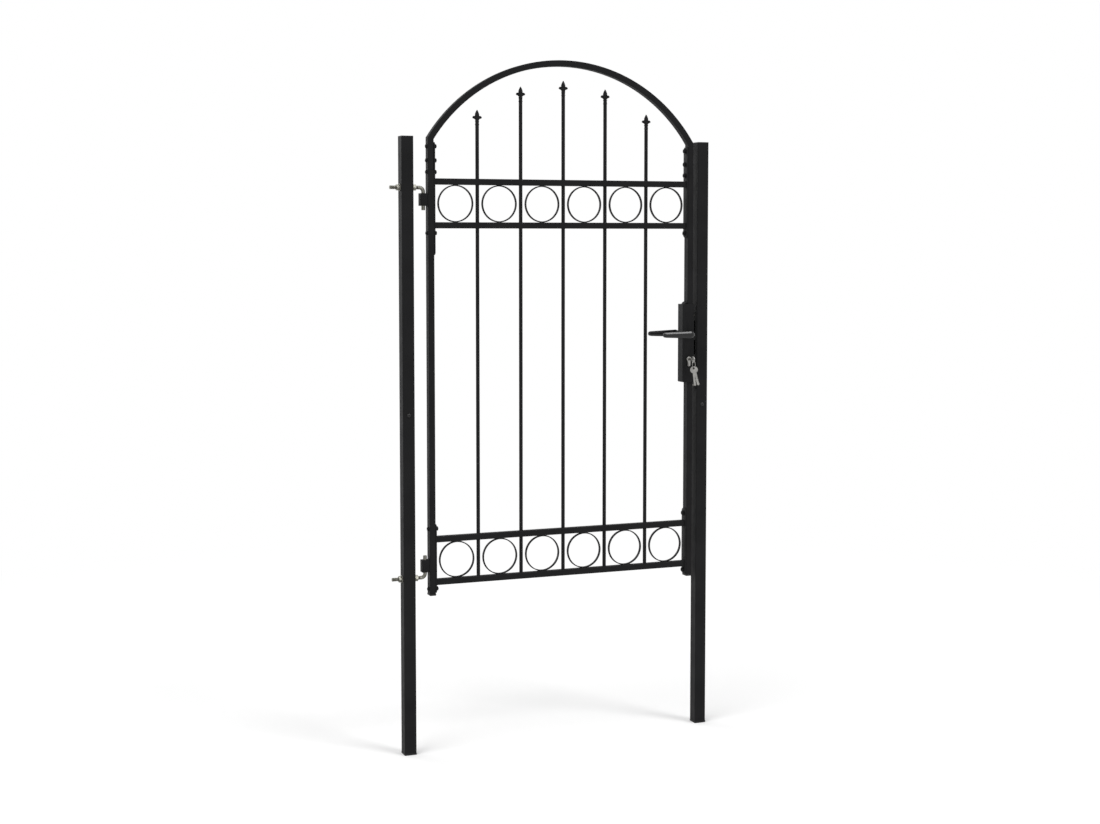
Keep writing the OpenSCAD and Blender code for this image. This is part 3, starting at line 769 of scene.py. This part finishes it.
# %% Nuts and washers on the pintles
def hex_nut(across, thick, hole):
    """A chamfered nut on the Z axis, its base at the origin; hole is the hole's radius."""
    corner = across / 2 / math.cos(math.radians(30))
    flat = 0.95 * across / 2
    chamfer = (corner - flat) * math.tan(math.radians(30))
    rim = corner + 0.0001
    barrel = lathe([(hole, 0), (flat, 0), (rim, chamfer), (rim, thick - chamfer), (flat, thick),
                    (hole, thick), (hole, 0)], steps=48)
    bpy.ops.object.select_all(action="DESELECT")
    bpy.ops.mesh.primitive_cylinder_add(vertices=6, radius=corner, depth=2 * thick,
                                        location=(0, 0, thick / 2))
    combine(barrel, bpy.context.object, "INTERSECT")
    return barrel


def washer(radius, thick, hole):
    """A stamped washer on the Z axis, its base at the origin."""
    edge = 0.25 * thick
    return lathe([(hole, 0), (radius - edge, 0), (radius, edge), (radius, thick - edge),
                  (radius - edge, thick), (hole, thick), (hole, 0)], steps=40)


along_x = (0, math.pi / 2, 0)
against_x = (0, -math.pi / 2, 0)
rod_heights = [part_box("lower_pintle")[0].z + rod_radius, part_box("upper_pintle")[1].z - rod_radius]
post_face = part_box("hinge_post")[1].x
washer_thick, nut_thick = 0.0025, 0.010


def on_both_faces(off):
    """Places on both faces of the hinge post, at both pintles."""
    return [((side * (post_face + off), 0, z), along_x if side > 0 else against_x)
            for z in rod_heights for side in (1, -1)]


rod_washers = copies(washer(radius=0.012, thick=washer_thick, hole=0.0061), on_both_faces(0))
settle(rod_washers, "rod_washers", "posts", "zinc_plated_steel", ["pintle_washers"])
rod_nuts = copies(hex_nut(across=0.019, thick=nut_thick, hole=0.0056), on_both_faces(washer_thick))
settle(rod_nuts, "rod_nuts", "posts", "zinc_plated_steel", ["pintle_nuts"], crease=25)

# %% [markdown]
# ## Panel bolts
#
# The two ring panels and the arch come flat-packed and are bolted between the stiles. Each bolt has a
# round domed head outside, and a washer and a nut inside. One set is modelled and copied to six
# heights on both sides; the two highest hold the legs of the arch, which stand flush on the stiles.

# %% Panel bolts
bolt_heights = [0.538, 0.735, 1.692, 1.887, 1.924, 1.969]
inner_faces = [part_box("upper_hinge_plate")[1].x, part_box("upper_lock_plate")[0].x]
stile_faces = [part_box("hinge_stile")[0].x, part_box("lock_stile")[1].x]

dome_outline = [(0, 0), (0.0072, 0), (0.0072, 0.0010), (0.0068, 0.0025), (0.0056, 0.0040),
                (0.0037, 0.0050), (0.0016, 0.0055), (0, 0.0056)]
shank_outline = [(0, 0), (0.0030, 0), (0.0030, 0.0084), (0.0024, 0.0091), (0, 0.0091)]
bolt_washer_thick = 0.0016


def at_bolts(faces, turns):
    """Places at every bolt height, on the hinge side and then on the lock side."""
    return [((x, 0, z), turn) for x, turn in zip(faces, turns) for z in bolt_heights]


bolt_heads = copies(lathe(dome_outline), at_bolts(stile_faces, (against_x, along_x)))
settle(bolt_heads, "panel_bolt_heads", "leaf", "black_powder_coat")

bolt_end = lathe(shank_outline, steps=20)
bolt_nut = hex_nut(across=0.0130, thick=0.0058, hole=0.0026)
bolt_nut.location.z = bolt_washer_thick
bolt_inside = washer(radius=0.0090, thick=bolt_washer_thick, hole=0.0031)
join(bolt_inside, bolt_nut, bolt_end)
bolt_nuts = copies(bolt_inside, at_bolts(inner_faces, (along_x, against_x)))
settle(bolt_nuts, "panel_bolt_nuts", "leaf", "black_powder_coat", crease=25)

# %% [markdown]
# ## Screws
#
# One domed screw closes the hole on the street side of each post, and flat screws hold the strike
# plate and the lock's face. A screw head is turned on the lathe. Its cross recess is cut by two thin
# wedges, which are boxes with their lower ends drawn in.

# %% Screws
recess_wing = 0.0011
wedge_taper = (0.45, 0.7, 1)


def cross_cutter(width, depth):
    """Two crossed wedges that taper downwards, round the origin and as deep below it as above."""
    wings = []
    for turn in (0, math.pi / 2):
        wing = block((width, recess_wing, 2 * depth), (0, 0, 0))
        open_edit(wing)
        choose("FACE", lambda at, normal: normal.z < -0.9)
        bpy.ops.transform.resize(value=wedge_taper)
        close_edit()
        wing.rotation_euler.z = turn
        pick(wing)
        bpy.ops.object.transform_apply(rotation=True)
        wings.append(wing)
    combine(wings[0], wings[1], "UNION")
    return wings[0]


def screw_head(outline, width, depth):
    """A turned head with a cross recess; the outline's last point is its middle."""
    head = lathe(outline)
    cutter = cross_cutter(width, depth)
    cutter.location.z = outline[-1][1]
    combine(head, cutter, "DIFFERENCE")
    return head


domed_outline = [(0, 0), (0.0070, 0), (0.0070, 0.0006), (0.0062, 0.0023), (0.0044, 0.0035),
                 (0.0022, 0.0041), (0, 0.0042)]
flat_outline = [(0, -0.0010), (0.0030, -0.0010), (0.0043, 0.0001), (0.0041, 0.00035),
                (0.0020, 0.0005), (0, 0.00055)]
post_screw_height = 1.109
strike_screw_in, face_screw_in = 0.012, 0.010

towards_street = (math.pi / 2, 0, 0)
street_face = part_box("hinge_post")[0].y
post_middles = [(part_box(post)[0].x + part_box(post)[1].x) / 2 for post in ("hinge_post", "lock_post")]
post_places = [((x, street_face, post_screw_height), towards_street) for x in post_middles]
settle(copies(screw_head(domed_outline, width=0.0052, depth=0.0016), post_places),
       "post_screws", "posts", "lever_metal")

low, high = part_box("strike_plate")
strike_places = [((low.x, 0, z), against_x) for z in (low.z + strike_screw_in, high.z - strike_screw_in)]
settle(copies(screw_head(flat_outline, width=0.0042, depth=0.0012), strike_places),
       "strike_screws", "posts", "zinc_plated_steel")
low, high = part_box("lock_forend")
lock_face_places = [((high.x, 0, z), along_x) for z in (low.z + face_screw_in, high.z - face_screw_in)]
settle(copies(screw_head(flat_outline, width=0.0042, depth=0.0012), lock_face_places),
       "lock_face_screws", "leaf", "nickel_plate")

# %% [markdown]
# ## Lever handles
#
# A lever is one cast bar: an eight-sided neck comes out of the lock, bends towards the hinge side and
# becomes a flat grip that slims towards its tip, with broad chamfers on its outer side. Joining two
# bars would leave a seam just where the hand rests. So one octagon with slightly rounded corners is
# drawn out along the neck, turned a few degrees at a time round the bend while it is stretched
# upright, and then drawn out along the grip, with its height and thickness set anew at every station.
# Two of its corners are moved first, which leaves only narrow chamfers on the inner side.

# %% Lever handles
neck_radius = 0.0075
neck_sides = 8
inner_shift = 0.42 * neck_radius
corner_round = 0.0010
lever_bend = 0.012
bend_steps = 8
grip_high, grip_thick = 0.024, 0.012
grip_stations = [(0.035, 0.0222, 0.0118), (0.065, 0.0198, 0.0113), (0.092, 0.0177, 0.0107),
                 (0.104, 0.0166, 0.0102), (0.1095, 0.0150, 0.0093), (0.1130, 0.0120, 0.0074),
                 (0.1146, 0.0076, 0.0047), (0.1150, 0.0026, 0.0017)]


def lever(node, name, street):
    """A bent bar in the place of a CAD node; street is -1 for the street side and 1 for the garden side."""
    low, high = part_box(node)
    outside, inside = (low.y, high.y) if street < 0 else (high.y, low.y)
    grip_y = outside - street * grip_thick / 2
    turn_y = grip_y - street * lever_bend
    bpy.ops.object.select_all(action="DESELECT")
    half_side = math.pi / neck_sides
    bpy.ops.mesh.primitive_circle_add(vertices=neck_sides, radius=neck_radius / math.cos(half_side),
                                      fill_type="NGON", location=(0, inside, 0),
                                      rotation=(math.pi / 2, half_side, 0))
    grip = bpy.context.object
    bpy.ops.object.transform_apply(location=True, rotation=True)
    open_edit(grip)
    choose("VERT", lambda at, normal: at.x < 0 and abs(at.z) > 0.9 * neck_radius)
    bpy.ops.transform.translate(value=(-inner_shift, 0, 0))
    bpy.ops.mesh.select_all(action="SELECT")
    bpy.ops.mesh.bevel(offset=corner_round, segments=4, affect="VERTICES")
    bpy.ops.mesh.select_all(action="SELECT")
    bpy.ops.mesh.extrude_region_move(TRANSFORM_OT_translate={"value": (0, turn_y - inside, 0)})
    thinner = (grip_thick / (2 * neck_radius)) ** (1 / bend_steps)
    taller = (grip_high / (2 * neck_radius)) ** (1 / bend_steps)
    for step in range(1, bend_steps + 1):
        bpy.ops.mesh.extrude_region_move(TRANSFORM_OT_translate={"value": (0, 0, 0)})
        bpy.ops.transform.rotate(value=-street * math.pi / 2 / bend_steps, orient_axis="Z",
                                 center_override=(-lever_bend, turn_y, 0))
        angle = math.pi / 2 * step / bend_steps
        middle = (lever_bend * (math.cos(angle) - 1), turn_y + street * lever_bend * math.sin(angle), 0)
        bpy.ops.transform.resize(value=(thinner, thinner, taller), center_override=middle)
    before = (lever_bend, grip_high, grip_thick)
    for station in grip_stations:
        tall, thick = station[1] / before[1], station[2] / before[2]
        run = before[0] - station[0]
        bpy.ops.mesh.extrude_region_move(TRANSFORM_OT_translate={"value": (run, 0, 0)})
        bpy.ops.transform.resize(value=(1, thick, tall), center_override=(-station[0], grip_y, 0))
        before = station
    close_edit()
    tidy_shell(grip)
    lock_axis = (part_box("spindle")[0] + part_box("spindle")[1]) / 2
    grip.location = (lock_axis.x, 0, lock_axis.z)
    settle(grip, name, "levers", "lever_metal", [node], crease=60)
    modify(grip, "WEIGHTED_NORMAL", keep_sharp=True)


lever("front_lever", "street_lever", -1)
lever("back_lever", "garden_lever", 1)

# %% [markdown]
# ## Keys
#
# Three equal keys belong to the lock: one in the cylinder and two spares on a ring through its bow. A
# key is stamped from plate, so it starts as a flat disc and a bar. The hole, the hollow in the bow,
# the grooves along the blade and the notches that fit the lock are all cut away, as on the key
# machine, and a narrow bevel breaks the edges.

# %% One key
key_thick, blade_wide = 0.0022, 0.008
bow_radius, bow_hole, bow_hole_off = 0.0115, 0.004, 0.005
key_end, key_point = 0.0545, 0.003
groove_size, groove_x, groove_y = (0.036, 0.0013, 0.001), 0.037, 0.0012
hollow_size, hollow_x = (0.0075, 0.0090, 0.0006), 0.0048
cut_through = 0.01
notch_side, notch_off, first_notch, notch_step = 0.004, 0.0028, 0.026, 0.0048
notch_depths = (0.0016, 0.0024, 0.0012, 0.0021, 0.0018)


def disc(radius, thick, place):
    """A round plate with its axis along Z."""
    bpy.ops.object.select_all(action="DESELECT")
    bpy.ops.mesh.primitive_cylinder_add(vertices=64, radius=radius, depth=thick, location=place)
    return bpy.context.object


key = disc(bow_radius, key_thick, (0, 0, 0))
blade = block((key_end, blade_wide, key_thick), (key_end / 2, 0, 0))
open_edit(blade)
choose("EDGE", lambda at, way: at.x > 0.49 * key_end and abs(way.z) > 0.9)
bpy.ops.mesh.bevel(offset=key_point, segments=1, affect="EDGES")
close_edit()
combine(key, blade, "UNION")
combine(key, disc(bow_hole, cut_through, (-bow_hole_off, 0, 0)), "DIFFERENCE")
for face in (1, -1):
    combine(key, block(groove_size, (groove_x, face * groove_y, face * key_thick / 2)), "DIFFERENCE")
    combine(key, block(hollow_size, (hollow_x, 0, face * key_thick / 2)), "DIFFERENCE")
for number, depth in enumerate(notch_depths):
    notch_place = (first_notch + notch_step * number, depth - notch_off - blade_wide / 2, 0)
    notch = block((notch_side, notch_side, cut_through), notch_place)
    notch.rotation_euler.z = math.radians(45)
    combine(key, notch, "DIFFERENCE")
modify(key, "BEVEL", width=0.0002, segments=2, limit_method="ANGLE", angle_limit=math.radians(40))
print("key:", len(key.data.polygons), "faces")

# %% Keys in their places
low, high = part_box("lock_key")
plug = Vector(((low.x + high.x) / 2, 0, (low.z + high.z) / 2))
bow_y = low.y + bow_radius
ring_y = bow_y - bow_hole_off
ring_low, ring_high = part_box("key_ring")
ring_turn, spare_turn, spare_side = math.radians(40), math.radians(65), 0.0026
spare_tilts = (math.radians(-6), math.radians(-15))
spare_hole_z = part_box("spare_keys")[1].z - (bow_radius - bow_hole_off * math.cos(spare_tilts[1]))


def key_copy(matrix):
    """A copy of the key, laid into its place."""
    pick(key)
    bpy.ops.object.duplicate()
    copy = bpy.context.object
    copy.matrix_world = matrix
    bpy.ops.object.transform_apply(location=True, rotation=True, scale=True)
    return copy


def turned(angle, axis):
    """A turn about an axis, as a matrix."""
    return Matrix.Rotation(angle, 4, axis)


in_lock = Matrix.Translation((plug.x, bow_y, plug.z)) @ turned(math.pi / 2, "Z") @ turned(math.pi / 2, "X")
settle(key_copy(in_lock), "key_in_lock", "leaf", "nickel_plate", ["lock_key"])
spares = []
for side, tilt in zip((-1, 1), spare_tilts):
    hung = Matrix.Translation((plug.x, ring_y, spare_hole_z)) @ turned(ring_turn, "Z")
    hung = hung @ Matrix.Translation((side * spare_side, 0, 0)) @ turned(spare_turn - ring_turn, "Z")
    hung = hung @ turned(tilt, "X") @ turned(math.pi / 2, "Y") @ Matrix.Translation((bow_hole_off, 0, 0))
    spares.append(key_copy(hung))
join(*spares)
settle(spares[0], "hanging_keys", "leaf", "nickel_plate", ["spare_keys"])
bpy.data.objects.remove(key)

# %% [markdown]
# ## Key ring
#
# A key ring is a flat spring of two turns. A torus would show no split, so a small round section is
# wound twice with the Screw modifier, with just enough offset for the turns to lie on each other,
# and its two ends are closed.

# %% Key ring
wire_radius = 0.00048
coil_radius = 0.012
coil_step = 0.0009
bpy.ops.object.select_all(action="DESELECT")
bpy.ops.mesh.primitive_circle_add(vertices=12, radius=wire_radius, location=(coil_radius, 0, 0),
                                  rotation=(math.pi / 2, 0, 0))
ring = bpy.context.object
bpy.ops.object.transform_apply(location=True, rotation=True)
modify(ring, "SCREW", axis="Z", screw_offset=coil_step, iterations=2, steps=72, render_steps=72)
open_edit(ring)
bpy.ops.mesh.select_all(action="SELECT")
bpy.ops.mesh.fill_holes(sides=0)
close_edit()
tidy_shell(ring)
coil = Matrix.Translation((plug.x, ring_y, (ring_low.z + ring_high.z) / 2)) @ turned(ring_turn, "Z")
ring.matrix_world = coil @ turned(math.pi / 2, "X") @ Matrix.Translation((0, 0, -coil_step))
settle(ring, "split_ring", "leaf", "nickel_plate", ["key_ring"])

# %% [markdown]
# ## Cylinder plugs
#
# The key turns a round plug inside the lock cylinder. On both faces of the gate its end stands a
# little proud, with a turned rim and the keyway across it. The plug is turned on the lathe and the
# keyway is cut by a thin box.

# %% Cylinder plugs
plug_outline = [(0, -0.0004), (0.0064, -0.0004), (0.0064, 0.0003), (0.0059, 0.0006), (0.0050, 0.0006),
                (0.0047, 0.0003), (0, 0.0003)]
keyway_room, keyway_deep = 0.0005, 0.004
towards_garden = (-math.pi / 2, 0, 0)
plug_end = lathe(plug_outline, steps=48)
keyway = block((key_thick + keyway_room, blade_wide + keyway_room, keyway_deep), (0, 0, 0))
combine(plug_end, keyway, "DIFFERENCE")
low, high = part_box("lock_cylinder")
plug_places = [((plug.x, low.y, plug.z), towards_street), ((plug.x, high.y, plug.z), towards_garden)]
settle(copies(plug_end, plug_places), "cylinder_plugs", "leaf", "nickel_plate")

# %% [markdown]
# ## Welds
#
# Rings, rails, hinge eyes and the lock case are welded before coating. A short weld is a ripple of
# overlapping drops, so a bead is turned on the lathe from a wavy outline and half sunk into the
# joint. On top of the lock case a small gusset stands against the stile. Pickets get a turned collar
# of weld where they pass a rail.

# %% Weld beads
ripple_pitch, ripple_share = 0.0022, 0.13
row_length = 0.0007
sunk = 0.0004


def weld(name, places, length, radius):
    """Rippled beads along Z, turned and set round their middles at some places."""
    rows = max(8, round(length / row_length))
    outline = []
    for row in range(rows + 1):
        along = row / rows
        body = math.sqrt(max(0.0, 1 - (2 * along - 1) ** 6))
        ripple = 1 + ripple_share * math.cos(2 * math.pi * along * length / ripple_pitch)
        outline.append((radius * body * ripple, length * (along - 0.5)))
    settle(copies(lathe(outline, steps=10), places), name, "leaf", "black_powder_coat", crease=60)


ring_places = []
for row in ("lower_rings", "upper_rings"):
    low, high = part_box(row)
    for x in ring_middles(row):
        for y in (low.y + sunk, high.y - sunk):
            ring_places += [((x, y, low.z + sunk), along_x), ((x, y, high.z - sunk), along_x)]
weld("ring_welds", ring_places, length=0.015, radius=0.0016)

rail_boxes = [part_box(rail) for rail in ("bottom_rail", "lower_band_rail", "upper_band_rail", "top_rail")]
rail_places = []
for low, high in rail_boxes:
    for x in (low.x, high.x):
        rail_places += [((x, 0, low.z), across_y), ((x, 0, high.z), across_y)]
        rail_places += [((x, y, (low.z + high.z) / 2), upright) for y in (low.y, high.y)]
weld("rail_welds", rail_places, length=0.017, radius=0.0014)

# %% Hinge and lock welds
eye_places = []
for eye_block in ("lower_hinge_block", "upper_hinge_block"):
    low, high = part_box(eye_block)
    eye_places += [((high.x, y, (low.z + high.z) / 2), upright) for y in (low.y, high.y)]
weld("hinge_eye_welds", eye_places, length=0.036, radius=0.0016)

stile_low, stile_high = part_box("lock_stile")
stile_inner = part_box("upper_lock_plate")[1].x
side_places, face_places = [], []
for z in (case_low.z, case_high.z):
    side_places += [((x, 0, z), across_y) for x in (stile_inner, stile_high.x)]
    face_places += [(((stile_inner + stile_high.x) / 2, y, z), along_x) for y in (stile_low.y, stile_high.y)]
weld("lock_case_side_welds", side_places, length=0.028, radius=0.0020)
weld("lock_case_face_welds", face_places, length=0.019, radius=0.0020)

# %% Gusset
gusset_size, gusset_slope = Vector((0.0095, 0.0265, 0.0080)), 0.0070
gusset = block(gusset_size, (stile_inner - gusset_size.x / 2, 0, case_high.z + gusset_size.z / 2))
open_edit(gusset)
choose("EDGE", lambda at, way: at.x < 0 and at.z > 0 and abs(way.y) > 0.9)
bpy.ops.mesh.bevel(offset=gusset_slope, segments=3, profile=0.35, affect="EDGES")
close_edit()
modify(gusset, "BEVEL", width=0.0006, segments=2, limit_method="ANGLE", angle_limit=math.radians(40))
settle(gusset, "lock_case_gusset", "leaf", "black_powder_coat", crease=60)

# %% Picket collars
picket_radius = 0.006
fillet = 0.0013
inside_picket = picket_radius - sunk
collar_outline = [(inside_picket, 0), (picket_radius + fillet, 0),
                  (picket_radius + 0.4 * fillet, 0.35 * fillet), (picket_radius + 0.1 * fillet, fillet),
                  (inside_picket, fillet), (inside_picket, 0)]
collar = lathe(collar_outline, steps=24)
upside_down = (math.pi, 0, 0)
collar_places = []
for picket_low, picket_high in picket_boxes:
    x = (picket_low.x + picket_high.x) / 2
    for number, (low, high) in enumerate(rail_boxes):
        collar_places.append(((x, 0, high.z), upright))
        if number > 0:
            collar_places.append(((x, 0, low.z), upside_down))
settle(copies(collar, collar_places), "picket_collars", "leaf", "black_powder_coat")

# %% [markdown]
# ## Last checks
#
# The box of the dressed gate is measured against the CAD box and the difference is printed, to see
# that nothing has grown past the true size.

# %% Last checks
shown_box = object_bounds()
grown = (shown_box[1] - shown_box[0]) - (cad_box[1] - cad_box[0])
print("grew by", [round(1000 * g, 2) for g in grown], "mm")
